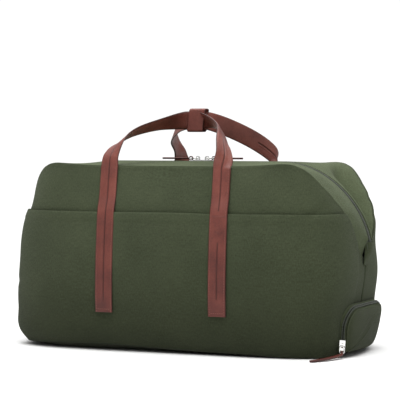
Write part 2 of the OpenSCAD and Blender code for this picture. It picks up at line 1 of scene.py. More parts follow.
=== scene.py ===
import math
import bpy
import numpy as np
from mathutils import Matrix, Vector


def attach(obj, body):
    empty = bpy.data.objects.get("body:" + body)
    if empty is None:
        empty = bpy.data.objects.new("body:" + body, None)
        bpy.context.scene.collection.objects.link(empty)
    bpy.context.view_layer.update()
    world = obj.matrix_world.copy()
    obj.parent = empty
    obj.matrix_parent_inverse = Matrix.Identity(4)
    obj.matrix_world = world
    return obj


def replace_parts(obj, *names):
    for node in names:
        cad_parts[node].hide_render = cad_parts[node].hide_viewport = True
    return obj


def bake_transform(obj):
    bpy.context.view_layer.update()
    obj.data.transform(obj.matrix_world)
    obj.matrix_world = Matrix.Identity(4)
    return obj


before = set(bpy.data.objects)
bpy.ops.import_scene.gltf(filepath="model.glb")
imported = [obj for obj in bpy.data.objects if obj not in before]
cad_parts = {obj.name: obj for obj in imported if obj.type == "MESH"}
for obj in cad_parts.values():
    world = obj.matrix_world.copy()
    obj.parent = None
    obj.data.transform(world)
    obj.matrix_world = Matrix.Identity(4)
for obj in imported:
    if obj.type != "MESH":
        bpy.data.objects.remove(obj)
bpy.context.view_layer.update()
mm = 0.001
rng = np.random.default_rng(7)
print("frame loaded:", len(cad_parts), "nodes")

# shapes shared by everything that lies on the bag
bag = dict(length=584, depth=300, wall=290, sag=6, canvas=2, topZ=296, trackZ=300, tipX=299,
           trackHalf=150, tipZ=151, ridgePower=1.88)
endInset = [(0, 18), (0.05, 7), (0.2, 2), (0.45, 0), (0.58, 2), (0.68, 8), (0.8, 21), (0.9, 36), (1, 52)]
pocketEndInset = [(0, 18), (0.04, 14), (0.255, 9), (0.42, 1), (0.6, 0), (0.72, 6), (0.82, 18), (0.92, 36), (1, 50)]
sideInset = [(0, 18), (0.05, 9), (0.2, 1), (0.4, 0), (0.6, 4), (0.8, 12), (1, 24)]
planPower = [(0, 5), (0.2, 4.4), (0.5, 3.7), (0.7, 4), (0.85, 4.8), (1, 7)]
edgeRise = [(0, 0.5), (4, 0.57), (8, 0.65), (13, 0.74), (19, 0.83), (27, 0.92), (36, 0.975), (46, 1), (90, 1)]


def ease(table, s):
    # cubic Hermite curve through the table's points, its slopes taken from their neighbours
    x, y = np.array(table, float).T
    slope = np.gradient(y, x)
    i = np.clip(np.searchsorted(x, s, side="right") - 1, 0, len(x) - 2)
    h = x[i + 1] - x[i]
    t = np.clip((s - x[i]) / h, 0, 1)
    a = (1 + 2 * t) * (1 - t) ** 2 * y[i] + t * t * (3 - 2 * t) * y[i + 1]
    return a + h * (t * (1 - t) ** 2 * slope[i] - t * t * (1 - t) * slope[i + 1])


def step(a, b, v):
    # 0 below a, 1 above b, with a smooth cubic between
    t = np.clip((v - a) / (b - a), 0, 1)
    return t * t * (3 - 2 * t)


def bump(v, centre, width):
    # bell curve exp(-((v - centre) / width) squared)
    return np.exp(-((v - centre) / width) ** 2)


def share(z):
    # height above the base seam over the wall height
    return (z - bag["sag"]) / bag["wall"]


def wallAt(angle, z, off):
    # rounded oblong in plan: x = a cos^(2/p), y = b sin^(2/p), where a, b and p change with height
    s = share(z)
    c, n = np.cos(angle), np.sin(angle)
    right = step(-0.25, 0.25, c)
    inset = ease(pocketEndInset, s) * right + ease(endInset, s) * (1 - right)
    p = ease(planPower, s)
    x = (bag["length"] / 2 - inset + off) * np.sign(c) * np.abs(c) ** (2 / p)
    y = (bag["depth"] / 2 - ease(sideInset, s) + off) * np.sign(n) * np.abs(n) ** (2 / p)
    return np.stack(np.broadcast_arrays(x, y, z), -1)


def seamZ(angle):
    # top edge of the wall, by plan angle from the end
    return bag["sag"] + bag["wall"] * ease(edgeRise, np.degrees(np.arccos(np.minimum(1, np.abs(np.cos(angle))))))


def evenAngles(count, first=1e-7, last=1e-7):
    # plan angles from the left end round the front to the right end, at even distances along the wall
    a = np.linspace(-math.pi + math.radians(first), -math.radians(last), 6000)
    p = wallAt(a, 150.0, 0)[:, :2]
    run = np.concatenate([[0], np.cumsum(np.linalg.norm(np.diff(p, axis=0), axis=1))])
    return np.interp(np.linspace(0, run[-1], count), run, a)


waves = [(rng.uniform(0.012, 0.045), rng.uniform(0.01, 0.03), rng.uniform(0, 6.28), rng.uniform(0, 6.28),
          rng.uniform(0.15, 0.5)) for _ in range(14)]
cloth = dict(between=2.4, pinch=1.6, ripple=1.0, leftStep=4.5, dent=6.0, crease=2.2)


def clothOff(p):
    # how far slack canvas stands out: a bulge between the straps, a pinch at each, ripples that are sums of
    # sines, a step in above the slip pocket at the left end, a dent and slanting creases at the right end
    x, y, z = p[..., 0], p[..., 1], p[..., 2]
    mid = step(30, 80, z) * (1 - step(262, 292, z))
    off = cloth["between"] * bump(x, 0, 62) * mid - cloth["pinch"] * (bump(x, -98, 20) + bump(x, 98, 20)) * mid
    along = x + 1.3 * np.abs(y)
    for kx, kz, px, pz, amount in waves:
        off = off + cloth["ripple"] * amount * np.sin(kx * along + px) * np.sin(kz * z + pz) * mid
    left = 1 - step(-290, -225, x)
    off = off - cloth["leftStep"] * left * bump(z, 232, 20)
    off = off - cloth["dent"] * bump(x, 276, 26) * bump(z, 172, 30) * (y < 0)
    slant = z - 0.9 * (x - 215)
    for place, size in ((196, 1.0), (232, 0.7), (158, 0.6)):
        off = off - cloth["crease"] * size * bump(slant, place, 7) * step(205, 262, x) * bump(z, 205, 55)
    off = off * (1 - step(262, 282, x) * (1 - step(60, 100, z)))
    off = off - 1.6 * bump(z - 0.35 * (x + 230), 120, 6) * (1 - step(-285, -215, x)) * bump(z, 118, 34)
    return off


def sagLine(p):
    # the lower edge lifts along the left of the front and settles to the floor at the right
    front = step(20, 110, -p[..., 1])
    low = bump(p[..., 2], bag["sag"], 26)
    q = p.copy()
    q[..., 2] = q[..., 2] + (5.5 * bump(p[..., 0], -120, 125) - 5.2 * bump(p[..., 0], 238, 70)) * front * low
    q[..., 2] = np.maximum(q[..., 2], 0.3)
    return q


def normalsOf(p, centre=(0, 0, 130)):
    # cross product of the grid's two directions, turned away from the centre
    n = np.cross(np.gradient(p, axis=0), np.gradient(p, axis=1))
    n /= np.linalg.norm(n, axis=-1, keepdims=True) + 1e-9
    return n * (1 if np.sum(n * (p - np.array(centre))) > 0 else -1)


def gridFaces(rows, cols, closed=False):
    # four neighbours of a grid in turn: (i, j), (i, j+1), (i+1, j+1), (i+1, j)
    i = np.arange(rows - 1)[:, None]
    j = np.arange(cols if closed else cols - 1)[None, :]
    k = (j + 1) % cols
    corners = (i * cols + j, i * cols + k, (i + 1) * cols + k, (i + 1) * cols + j)
    return np.stack(np.broadcast_arrays(*corners), -1).reshape(-1, 4)


def gridUv(p):
    # metres run along each direction of the grid
    u = np.cumsum(np.linalg.norm(np.diff(p, axis=0, prepend=p[:1]), axis=-1), axis=0).mean(1)
    v = np.cumsum(np.linalg.norm(np.diff(p, axis=1, prepend=p[:, :1]), axis=-1), axis=1)
    return np.stack(np.broadcast_arrays(u[:, None], v), -1) * mm


def meshPiece(name, verts, faces, material, body, uv=None, rim=None, turn=False, smooth=True):
    mesh = bpy.data.meshes.new(name)
    faceList = [tuple(int(v) for v in (f[::-1] if turn else f)) for f in faces]
    mesh.from_pydata((np.asarray(verts, float).reshape(-1, 3) * mm).tolist(), [], faceList)
    if uv is not None:
        loops = np.empty(len(mesh.loops), int)
        mesh.loops.foreach_get("vertex_index", loops)
        mesh.uv_layers.new(name="run").data.foreach_set("uv", np.asarray(uv, float).reshape(-1, 2)[loops].ravel())
    if rim is not None:
        mesh.attributes.new("rim", "FLOAT", "POINT").data.foreach_set("value", np.asarray(rim, np.float32).ravel())
    mesh.polygons.foreach_set("use_smooth", [smooth] * len(mesh.polygons))
    mesh.materials.append(material)
    mesh.update()
    obj = bpy.data.objects.new(name, mesh)
    bpy.context.scene.collection.objects.link(obj)
    if body:
        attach(obj, body)
    return obj


def clothPiece(name, p, material, thick, centre=(0, 0, 130), closed=False, body="shell"):
    # an open sheet with its outer face on the grid, thickened inwards
    faces = gridFaces(p.shape[0], p.shape[1], closed)
    a, b, c = (p.reshape(-1, 3)[faces[:, k]] for k in (0, 1, 2))
    n = np.cross(b - a, c - b)
    turn = np.sum(n * (a - np.array(centre))) < 0
    obj = meshPiece(name, p, faces, material, body, uv=gridUv(p), turn=turn)
    wall = obj.modifiers.new("thickness", "SOLIDIFY")
    wall.thickness = thick * mm
    wall.offset = -1
    return obj


def sweep(name, centreLine, across, normal, profile, material, body, rim=None, capEnds=True):
    # profile (stations, corners, 2) carried along a line: point = centre + across * u + normal * t
    p = centreLine[:, None] + across[:, None] * profile[..., :1] + normal[:, None] * profile[..., 1:]
    count, corners = p.shape[:2]
    faces = [list(f) for f in gridFaces(count, corners, True)]
    if capEnds:
        faces += [list(range(corners))[::-1], list(range((count - 1) * corners, count * corners))]
    along = np.gradient(centreLine, axis=0)
    area = np.cross(np.roll(profile[0], -1, 0), profile[0]).sum()
    turn = np.dot(np.cross(across[0], normal[0]), along[0]) * -area < 0
    return meshPiece(name, p, faces, material, body, uv=gridUv(p), rim=rim, turn=turn)


def many(name, shape, shapeFaces, places, frames, material, body):
    # the same small shape set at many places: point = place + frame * corner
    p = places[:, None] + np.einsum("nij,kj->nki", frames, shape)
    starts = (np.arange(len(places)) * len(shape))[:, None, None]
    faces = (np.asarray(shapeFaces)[None] + starts).reshape(-1, len(shapeFaces[0]))
    return meshPiece(name, p, faces, material, body)


def unit(v):
    # a vector over its length
    return v / (np.linalg.norm(v, axis=-1, keepdims=True) + 1e-12)


def throughPoints(points, count):
    # Catmull-Rom curve through the rows of points, sampled at even steps of arc length
    points = np.asarray(points, float)
    ends = np.vstack([2 * points[0] - points[1], points, 2 * points[-1] - points[-2]])
    s = np.linspace(0, len(points) - 1, 60 * len(points))
    i = np.minimum(s.astype(int), len(points) - 2)
    f = (s - i)[:, None]
    a, b, c, d = ends[i], ends[i + 1], ends[i + 2], ends[i + 3]
    p = b + f / 2 * (c - a) + f ** 2 / 2 * (2 * a - 5 * b + 4 * c - d) + f ** 3 / 2 * (3 * b - a - 3 * c + d)
    run = np.concatenate([[0], np.cumsum(np.linalg.norm(np.diff(p[:, :3], axis=0), axis=1))])
    even = np.linspace(0, run[-1], count)
    return np.stack([np.interp(even, run, p[:, k]) for k in range(p.shape[1])], -1)


# materials
def nodesFor(name, roughness, metallic=0.0, sheen=0.0, coat=0.0, specular=0.5):
    material = bpy.data.materials.new(name)
    material.use_nodes = True
    tree = material.node_tree
    shader = tree.nodes["Principled BSDF"]
    shader.inputs["Roughness"].default_value = roughness
    shader.inputs["Metallic"].default_value = metallic
    shader.inputs["Sheen Weight"].default_value = sheen
    shader.inputs["Sheen Roughness"].default_value = 0.45
    shader.inputs["Coat Weight"].default_value = coat
    shader.inputs["Coat Roughness"].default_value = 0.35
    shader.inputs["Specular IOR Level"].default_value = specular
    return material, tree, shader


def scaled(tree, source, scale):
    place = tree.nodes.new("ShaderNodeMapping")
    place.inputs["Scale"].default_value = scale
    tree.links.new(source, place.inputs["Vector"])
    return place.outputs["Vector"]


def noiseNode(tree, vector, scale, detail=3.0, roughness=0.55):
    node = tree.nodes.new("ShaderNodeTexNoise")
    node.inputs["Scale"].default_value = scale
    node.inputs["Detail"].default_value = detail
    node.inputs["Roughness"].default_value = roughness
    tree.links.new(vector, node.inputs["Vector"])
    return node.outputs["Fac"]


def rampNode(tree, fac, stops):
    node = tree.nodes.new("ShaderNodeValToRGB")
    ramp = node.color_ramp
    while len(ramp.elements) < len(stops):
        ramp.elements.new(0.5)
    for element, (place, colour) in zip(ramp.elements, stops):
        element.position = place
        element.color = (*colour, 1)
    tree.links.new(fac, node.inputs["Fac"])
    return node.outputs["Color"]


def blendColours(tree, fac, a, b, mode="MIX", amount=None):
    node = tree.nodes.new("ShaderNodeMix")
    node.data_type = "RGBA"
    node.blend_type = mode
    if amount is not None:
        node.inputs[0].default_value = amount
    else:
        tree.links.new(fac, node.inputs[0])
    for socket, value in ((node.inputs[6], a), (node.inputs[7], b)):
        if isinstance(value, tuple):
            socket.default_value = (*value, 1)
        else:
            tree.links.new(value, socket)
    return node.outputs[2]


def mathNode(tree, kind, a, b=None):
    node = tree.nodes.new("ShaderNodeMath")
    node.operation = kind
    for socket, value in zip(node.inputs, (a, b)):
        if value is None:
            continue
        if isinstance(value, (int, float)):
            socket.default_value = value
        else:
            tree.links.new(value, socket)
    return node.outputs[0]


def bumpInto(tree, shader, height, strength, distance):
    node = tree.nodes.new("ShaderNodeBump")
    node.inputs["Strength"].default_value = strength
    node.inputs["Distance"].default_value = distance
    tree.links.new(height, node.inputs["Height"])
    tree.links.new(node.outputs["Normal"], shader.inputs["Normal"])


canvasLook = dict(deep=(0.031, 0.038, 0.020), mid=(0.049, 0.060, 0.033), pale=(0.074, 0.089, 0.052),
                  thread=1.1, fleck=(560.0, 240.0), patch=9.0)


def canvasMaterial(name, lift=1.0):
    # plain weave: two sine waves crossed at the thread's pitch, under streaks of uneven yarn and broad patches; painted
    # shade makes the cloth darker towards the base and paler at the top
    material, tree, shader = nodesFor(name, 0.92, sheen=0.04, specular=0.12)
    coords = tree.nodes.new("ShaderNodeUVMap")
    coords.uv_map = "run"
    run = coords.outputs["UV"]
    fleck = noiseNode(tree, scaled(tree, run, (canvasLook["fleck"][0], canvasLook["fleck"][1], 1)), 1.0, 4.0, 0.7)
    cross = noiseNode(tree, scaled(tree, run, (90, 520, 1)), 1.0, 3.0, 0.65)
    patch = noiseNode(tree, run, canvasLook["patch"], 3.0)
    yarn = mathNode(tree, "ADD", mathNode(tree, "MULTIPLY", fleck, 0.7), mathNode(tree, "MULTIPLY", cross, 0.3))
    shade = rampNode(tree, yarn, [(0.28, tuple(c * lift for c in canvasLook["deep"])),
                                  (0.5, tuple(c * lift for c in canvasLook["mid"])),
                                  (0.74, tuple(c * lift for c in canvasLook["pale"]))])
    broad = rampNode(tree, patch, [(0.3, (0.86, 0.87, 0.84)), (0.7, (1.12, 1.11, 1.1))])
    tinted = blendColours(tree, None, shade, broad, "MULTIPLY", 1.0)
    # painted shade: the colour darkens towards the base and pales towards the top by height, standing in for light from
    # above
    where = tree.nodes.new("ShaderNodeSeparateXYZ")
    tree.links.new(tree.nodes.new("ShaderNodeTexCoord").outputs["Object"], where.inputs[0])
    height = tree.nodes.new("ShaderNodeMapRange")
    height.interpolation_type = "SMOOTHSTEP"
    height.inputs["From Min"].default_value = -0.02
    height.inputs["From Max"].default_value = 0.29
    tree.links.new(where.outputs[2], height.inputs["Value"])
    paintedShadeByHeight = rampNode(tree, height.outputs[0], [(0.0, (0.56, 0.55, 0.52)), (0.45, (0.86, 0.86, 0.84)),
                                              (1.0, (1.08, 1.08, 1.08))])
    tree.links.new(blendColours(tree, None, tinted, paintedShadeByHeight, "MULTIPLY", 1.0), shader.inputs["Base Color"])
    pitch = 2 * math.pi / (canvasLook["thread"] * mm)
    split = tree.nodes.new("ShaderNodeSeparateXYZ")
    tree.links.new(run, split.inputs[0])
    warp = mathNode(tree, "SINE", mathNode(tree, "MULTIPLY", split.outputs[0], pitch))
    weft = mathNode(tree, "SINE", mathNode(tree, "MULTIPLY", split.outputs[1], pitch))
    weave = mathNode(tree, "ADD", mathNode(tree, "MULTIPLY", warp, weft), mathNode(tree, "MULTIPLY", yarn, 2.0))
    bumpInto(tree, shader, weave, 0.55, 0.0004)
    return material


leatherLook = dict(deep=(0.070, 0.015, 0.010), mid=(0.145, 0.034, 0.023), pale=(0.215, 0.062, 0.043), grain=900.0)


def leatherMaterial(name):
    # small cells of grain with fine creases, warm patches, and edges burnished darker; painted shade makes the leather
    # darker towards the bottom
    material, tree, shader = nodesFor(name, 0.46, coat=0.05, specular=0.38)
    place = tree.nodes.new("ShaderNodeTexCoord").outputs["Object"]
    cells = tree.nodes.new("ShaderNodeTexVoronoi")
    cells.feature = "DISTANCE_TO_EDGE"
    cells.inputs["Scale"].default_value = leatherLook["grain"]
    tree.links.new(place, cells.inputs["Vector"])
    fine = noiseNode(tree, place, 420, 4.0, 0.6)
    patch = noiseNode(tree, place, 28, 3.0)
    mixed = mathNode(tree, "ADD", mathNode(tree, "MULTIPLY", patch, 0.65), mathNode(tree, "MULTIPLY", fine, 0.35))
    tone = rampNode(tree, mixed, [(0.3, leatherLook["deep"]), (0.52, leatherLook["mid"]), (0.78, leatherLook["pale"])])
    # painted shade: the leather darkens towards the bottom by height, standing in for light from above
    where = tree.nodes.new("ShaderNodeSeparateXYZ")
    tree.links.new(place, where.inputs[0])
    height = tree.nodes.new("ShaderNodeMapRange")
    height.inputs["From Min"].default_value = 0.05
    height.inputs["From Max"].default_value = 0.28
    tree.links.new(where.outputs[2], height.inputs["Value"])
    paintedShadeByHeight = rampNode(tree, height.outputs[0], [(0.0, (0.62, 0.42, 0.38)), (1.0, (1.0, 1.0, 1.0))])
    tone = blendColours(tree, None, tone, paintedShadeByHeight, "MULTIPLY", 1.0)
    rim = tree.nodes.new("ShaderNodeAttribute")
    rim.attribute_name = "rim"
    edge = tuple(c * 0.55 for c in leatherLook["deep"])
    tree.links.new(blendColours(tree, rim.outputs["Fac"], tone, edge), shader.inputs["Base Color"])
    rough = tree.nodes.new("ShaderNodeMapRange")
    rough.inputs["To Min"].default_value = 0.38
    rough.inputs["To Max"].default_value = 0.6
    tree.links.new(fine, rough.inputs["Value"])
    tree.links.new(rough.outputs[0], shader.inputs["Roughness"])
    furrow = mathNode(tree, "MINIMUM", mathNode(tree, "MULTIPLY", cells.outputs["Distance"], 5.0), 0.6)
    grain = mathNode(tree, "ADD", furrow, fine)
    bumpInto(tree, shader, grain, 0.35, 0.0003)
    return material


def plainGrain(name, colour, roughness, scale, metallic=0.0, strength=0.15, spread=0.25):
    # a small surface's finish: fine noise in its colour, its roughness and its relief
    material, tree, shader = nodesFor(name, roughness, metallic=metallic)
    place = tree.nodes.new("ShaderNodeTexCoord").outputs["Object"]
    grain = noiseNode(tree, place, scale, 4.0, 0.6)
    darker, paler = (tuple(min(1, c * (1 + k)) for c in colour) for k in (-spread, spread))
    tone = rampNode(tree, grain, [(0.3, darker), (0.7, paler)])
    tree.links.new(tone, shader.inputs["Base Color"])
    rough = tree.nodes.new("ShaderNodeMapRange")
    rough.inputs["To Min"].default_value = roughness * 0.8
    rough.inputs["To Max"].default_value = min(1, roughness * 1.25)
    tree.links.new(grain, rough.inputs["Value"])
    tree.links.new(rough.outputs[0], shader.inputs["Roughness"])
    bumpInto(tree, shader, grain, strength, 0.0002)
    return material


canvas = canvasMaterial("greenCanvas")
gussetCanvas = canvasMaterial("gussetCanvas", 1.5)
leather = leatherMaterial("redBrownLeather")
nickel = plainGrain("polishedNickel", (0.78, 0.78, 0.76), 0.16, 600, metallic=1.0, strength=0.04, spread=0.04)
nylon = plainGrain("greenNylon", (0.035, 0.042, 0.028), 0.42, 900)
tapeCloth = plainGrain("zipTapeCloth", (0.045, 0.055, 0.034), 0.85, 1400, strength=0.4)
liningCloth = plainGrain("liningCloth", (0.05, 0.055, 0.045), 0.9, 1500, strength=0.4)
greyBoard = plainGrain("greyBoard", (0.06, 0.06, 0.055), 0.8, 500)
redThread = plainGrain("redThread", (0.27, 0.10, 0.075), 0.7, 2500, strength=0.5)
print("materials made")

# canvas body
body = dict(around=240, up=72, seamRidge=0.9, endSeam=1.1)


def wallSheet(angles, top, rows, off, low=None):
    # rows spread evenly from the base seam to the top edge; off is how far the face stands out
    z0 = bag["sag"] if low is None else low
    r = np.linspace(0, 1, rows)[None, :]
    z = z0 + (top[:, None] - z0) * r
    a = np.broadcast_to(angles[:, None], z.shape)
    p = wallAt(a, z, 0.0)
    p = p + normalsOf(p) * (clothOff(p) + (off(p, z, top[:, None]) if callable(off) else off))[..., None]
    return sagLine(p)


around = evenAngles(body["around"])


def ridgeOff(p, z, top):
    # a raised seam along the top edge, and a shallow valley where front and back panels are sewn at the ends
    return body["seamRidge"] * bump(z, top, 3.0) - body["endSeam"] * bump(p[..., 1], 0, 2.5) * (z < top - 12)



frontWall = wallSheet(around, seamZ(around), body["up"], ridgeOff)
frontPanel = clothPiece("frontPanel", frontWall, canvas, bag["canvas"])
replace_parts(frontPanel, "front_panel")
frontStep = cloth["leftStep"]
cloth["leftStep"] = 1.5
backWall = wallSheet(around, seamZ(around), body["up"], ridgeOff) * np.array([1, -1, 1])
cloth["leftStep"] = frontStep
backPanel = clothPiece("backPanel", backWall, canvas, bag["canvas"])
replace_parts(backPanel, "back_panel")

slip = dict(top=222, gap=3.0, hem=12, gape=3.2, hemThick=0.9, firstAngle=5)
slipAngles = evenAngles(230, slip["firstAngle"], slip["firstAngle"])


def slipOff(p, z, top):
    # a little slack towards the mouth between the straps, and the folded hem's extra thickness
    x = p[..., 0]
    slack = (bump(x, 0, 55) + 0.8 * bump(x, -190, 48) + 0.8 * bump(x, 190, 48)) * step(110, 222, z)
    hem = slip["hemThick"] * step(slip["top"] - slip["hem"] - 1.5, slip["top"] - slip["hem"], z)
    flat = step(262, 284, x) * (1 - step(60, 95, z))
    return slip["gap"] - 1.2 * flat + slip["gape"] * slack + hem


slipTop = np.minimum(slip["top"], seamZ(slipAngles) - 1.0)
slipWall = wallSheet(slipAngles, slipTop, 70, slipOff)
slipPocket = clothPiece("slipPocket", slipWall, canvas, 2.0)
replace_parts(slipPocket, "slip_pocket", "slip_pocket_hem")

baseShape = dict(rings=16, roll=34)


def baseSheet():
    # the wall's lowest outline drawn in towards the middle, sinking on a rounded edge to the floor
    a = np.concatenate([around, -around[::-1]])
    outline = np.concatenate([frontWall[:, 0], backWall[::-1, 0]])
    k = np.linspace(0, 1, baseShape["rings"])[None, :]
    inwards = unit(np.array([0, 0, 0]) - outline * np.array([1, 1, 0]))[:, None]
    near = outline[:, None] + inwards * (k * baseShape["roll"])[..., None]
    near[..., 2] = np.maximum(0.15, outline[:, None, 2] * (1 - np.sin(k * math.pi / 2)) + 0.15)
    far = near[:, -1:] * (1 - np.linspace(0.1, 0.98, 9))[None, :, None]
    far[..., 2] = 0.15
    return np.concatenate([near, far], axis=1)


baseGrid = baseSheet().transpose(1, 0, 2)
baseFaces = [list(f) for f in gridFaces(baseGrid.shape[0], baseGrid.shape[1], True)]
baseFaces.append(list(range((baseGrid.shape[0] - 1) * baseGrid.shape[1], baseGrid.shape[0] * baseGrid.shape[1])))
basePanel = meshPiece("basePanel", baseGrid, baseFaces, canvas, "shell", uv=gridUv(baseGrid), turn=False)
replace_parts(basePanel, "base_panel")


# zip over the top
def ridgeLine(x):
    # straight over the middle, then a rounded shoulder: a superellipse quarter down to the tip at each end
    reach = bag["tipX"] - bag["trackHalf"]
    s = np.clip((np.abs(x) - bag["trackHalf"]) / reach, 0, 1) ** (bag["ridgePower"] / 2)
    turn = np.arcsin(s)
    drop = bag["trackZ"] - bag["tipZ"]
    z = bag["tipZ"] + drop * np.cos(turn) ** (2 / bag["ridgePower"])
    k = 2 - 2 / bag["ridgePower"]
    n = np.stack([np.sign(x) * np.sin(turn) ** k / reach, 0 * x, np.cos(turn) ** k / drop], -1)
    return np.stack([x, 0 * x, z], -1), unit(n)


def ridgeAt(count, last=84):
    # even steps of arc length along the zip
    turn = np.radians(np.linspace(-last, last, 4001))
    reach = bag["tipX"] - bag["trackHalf"]
    x = np.sign(turn) * (bag["trackHalf"] + reach * np.abs(np.sin(turn)) ** (2 / bag["ridgePower"]))
    x = np.concatenate([x[:2000], np.linspace(-bag["trackHalf"], bag["trackHalf"], 800)[1:-1], x[2001:]])
    p = ridgeLine(x)[0]
    run = np.concatenate([[0], np.cumsum(np.linalg.norm(np.diff(p, axis=0), axis=1))])
    return np.interp(np.linspace(0, run[-1], count), run, x), run[-1]


gusset = dict(lip=8.0, knee=12.4, flat=0.4, sink=24.0, frontPuff=4.0)


def gussetSheet(side):
    # from the folded lip beside the zip out to the wall's seam; at the shoulders the rear one sinks in a fold
    wall = frontWall if side < 0 else backWall
    inner = wall[3:-3, -1].copy()
    angles = around[3:-3]
    inner = inner - normalsOf(wall)[3:-3, -1] * 2.3
    x = inner[:, 0]
    endX = np.where(x > 0, 291.0, 289.5)
    match = np.where(np.abs(x) <= 150, x, np.sign(x) * np.minimum(297.8, 150 + (np.abs(x) - 150) * 149 / (endX - 150)))
    p, n = ridgeLine(match)
    lip = p + np.array([0, side * gusset["lip"], 0]) + n * (gusset["flat"] + 2)
    knee = p + np.array([0, side * gusset["knee"], 0]) + n * (gusset["flat"] + 2)
    v = np.linspace(0, 1, 26)[None, :, None]
    sheet = knee[:, None] * (1 - v) + inner[:, None] * v
    fromEnd = np.degrees(np.arccos(np.abs(np.cos(angles))))
    shoulder = step(3, 15, fromEnd) * (1 - step(34, 62, fromEnd))
    fold = np.sin(math.pi * v[..., 0]) ** 1.3
    if side > 0:
        depth = shoulder * np.where(x > 0, gusset["sink"], 6.0)
        valley = 0.5 * fold + 0.65 * bump(v[..., 0], 0.62, 0.17)
        wave = depth[:, None] * valley + 2.4 * shoulder[:, None] * np.sin(4.6 * math.pi * v[..., 0]) * (1 - v[..., 0])
    else:
        wave = -gusset["frontPuff"] * shoulder[:, None] * fold
    wave = wave + 0.7 * np.sin(x / 33.0)[:, None] * fold
    sheet = sheet - n[:, None] * wave[..., None]
    return np.concatenate([lip[:, None], sheet], axis=1)


for side, name, node in ((-1, "frontGusset", "front_gusset"), (1, "rearGusset", "rear_gusset")):
    strip = clothPiece(name, gussetSheet(side), gussetCanvas, 1.8, centre=(0, 0, 60))
    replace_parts(strip, node)

zipShape = dict(gap=0.7, tapeEdge=12.0, pitch=1.7, row=2.0, high=2.4, tooth=1.15)
ridgeX, ridgeRun = ridgeAt(220)
ridgeP = ridgeLine(ridgeX)[0]
tooth = np.array([(u, v, w) for w in (0, 1) for v in (0, 1) for u in (-0.5, 0.5)], float)
toothFaces = [(0, 2, 3, 1), (4, 5, 7, 6), (0, 1, 5, 4), (2, 6, 7, 3), (0, 4, 6, 2), (1, 3, 7, 5)]
for side, place in ((-1, "Front"), (1, "Rear")):
    low = place.lower()
    v = np.linspace(zipShape["gap"], zipShape["tapeEdge"], 5)
    sheet = ridgeP[:, None] + np.stack([0 * v, side * v, 0 * v], -1)[None]
    tape = clothPiece("zipTape" + place, sheet, tapeCloth, 1.0, centre=(0, 0, 60))
    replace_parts(tape, "zip_tape_" + low)
    count = int(ridgeRun / zipShape["pitch"])
    tx = ridgeAt(count)[0]
    tp, tn = ridgeLine(tx)
    along = unit(np.gradient(tp, axis=0))
    across = np.broadcast_to([0, side * zipShape["row"], 0], along.shape)
    frames = np.stack([along * zipShape["tooth"], across, tn * (zipShape["high"] - 0.1)], -1)
    teeth = many("zipTeeth" + place, tooth, toothFaces if side > 0 else [f[::-1] for f in toothFaces],
                 tp + np.array([0, side * zipShape["gap"], 0]) + tn * 0.1, frames, nylon, "shell")
    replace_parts(teeth, "zip_teeth_" + low)
zipEnd = dict(half=13.0, high=176.0, low=140.0, out=303.0)
for sign, name, node in ((-1, "zipEndLeft", "zip_stop_left"), (1, "zipEndRight", "zip_stop_right")):
    # a canvas tab over the zip's end: it stands out round the teeth at the top and meets the wall below and beside
    y = np.linspace(-zipEnd["half"], zipEnd["half"], 29)[None, :]
    z = np.linspace(zipEnd["low"], zipEnd["high"], 27)[:, None]
    table = pocketEndInset if sign > 0 else endInset
    wallX = bag["length"] / 2 - ease(table, share(z))
    rise = step(zipEnd["low"], 166, z) * (1 - np.abs(y / zipEnd["half"]) ** 3)
    x = wallX + 0.3 + (zipEnd["out"] - 1.2 - wallX) * rise + 0.5 * bump(z, zipEnd["high"] - 2, 1.6) * (rise > 0.2)
    grid = np.stack(np.broadcast_arrays(sign * x, y, z), -1)
    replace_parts(clothPiece(name, grid, canvas, 1.2, centre=(0, 0, 150)), node)
print("body and top zip made")


# leather
def bandProfile(stations, half, thick, groove, extra=None, points=35):
    # a flat band's section: rounded edges, and a valley along the middle of the grain face where groove is 1
    u = np.linspace(-1, 1, points)
    edge = np.clip(np.minimum(1, 6.0 * (1 - np.abs(u))), 0, 1)
    top = thick / 2 * (0.35 + 0.65 * np.sqrt(1 - (1 - edge) ** 2))
    uu = u[None, :] * half[:, None]
    valley = groove[:, None] * (1.25 * bump(uu, 0, 0.75) - 0.35 * bump(np.abs(uu), 2.6, 1.5))
    outer = top[None, :] - valley - 0.22 * bump(np.abs(uu), half[:, None] - 2.4, 0.45)
    if extra is not None:
        outer = outer + extra(uu) * edge[None, :]
    back = np.linspace(1, -1, 9)
    backU = back[None, :] * half[:, None]
    backEdge = np.clip(np.minimum(1, 6.0 * (1 - np.abs(back))), 0, 1)
    inner = -thick / 2 * (0.35 + 0.65 * np.sqrt(1 - (1 - backEdge) ** 2))
    under = np.stack([backU, np.broadcast_to(inner, backU.shape)], -1)
    profile = np.concatenate([np.stack([uu, outer], -1), under], axis=1)
    rimU = np.concatenate([np.abs(u), np.abs(back)])
    rim = np.broadcast_to(step(0.93, 0.99, rimU)[None], profile.shape[:2]).copy()
    rim[:, :points] = np.maximum(rim[:, :points], groove[:, None] * bump(uu, 0, 0.9) * 0.9)
    return profile, rim


def framesAlong(p, look):
    # across = along x look, then the normal square to both
    along = unit(np.gradient(p, axis=0))
    normal = unit(look - along * np.sum(look * along, -1, keepdims=True))
    return along, np.cross(along, normal), normal


stitchShape = np.array([(-0.5, 0, 0.1), (0.5, 0, 0.1), (-0.3, 0.28, 0.2), (0.3, 0.28, 0.2),
                        (-0.3, -0.28, 0.2), (0.3, -0.28, 0.2), (-0.25, 0, 0.55), (0.25, 0, 0.55)])
stitchFaces = [(0, 2, 6), (2, 3, 7, 6), (3, 1, 7), (0, 6, 4), (4, 6, 7, 5), (5, 7, 1), (0, 4, 5, 1, 3, 2)]


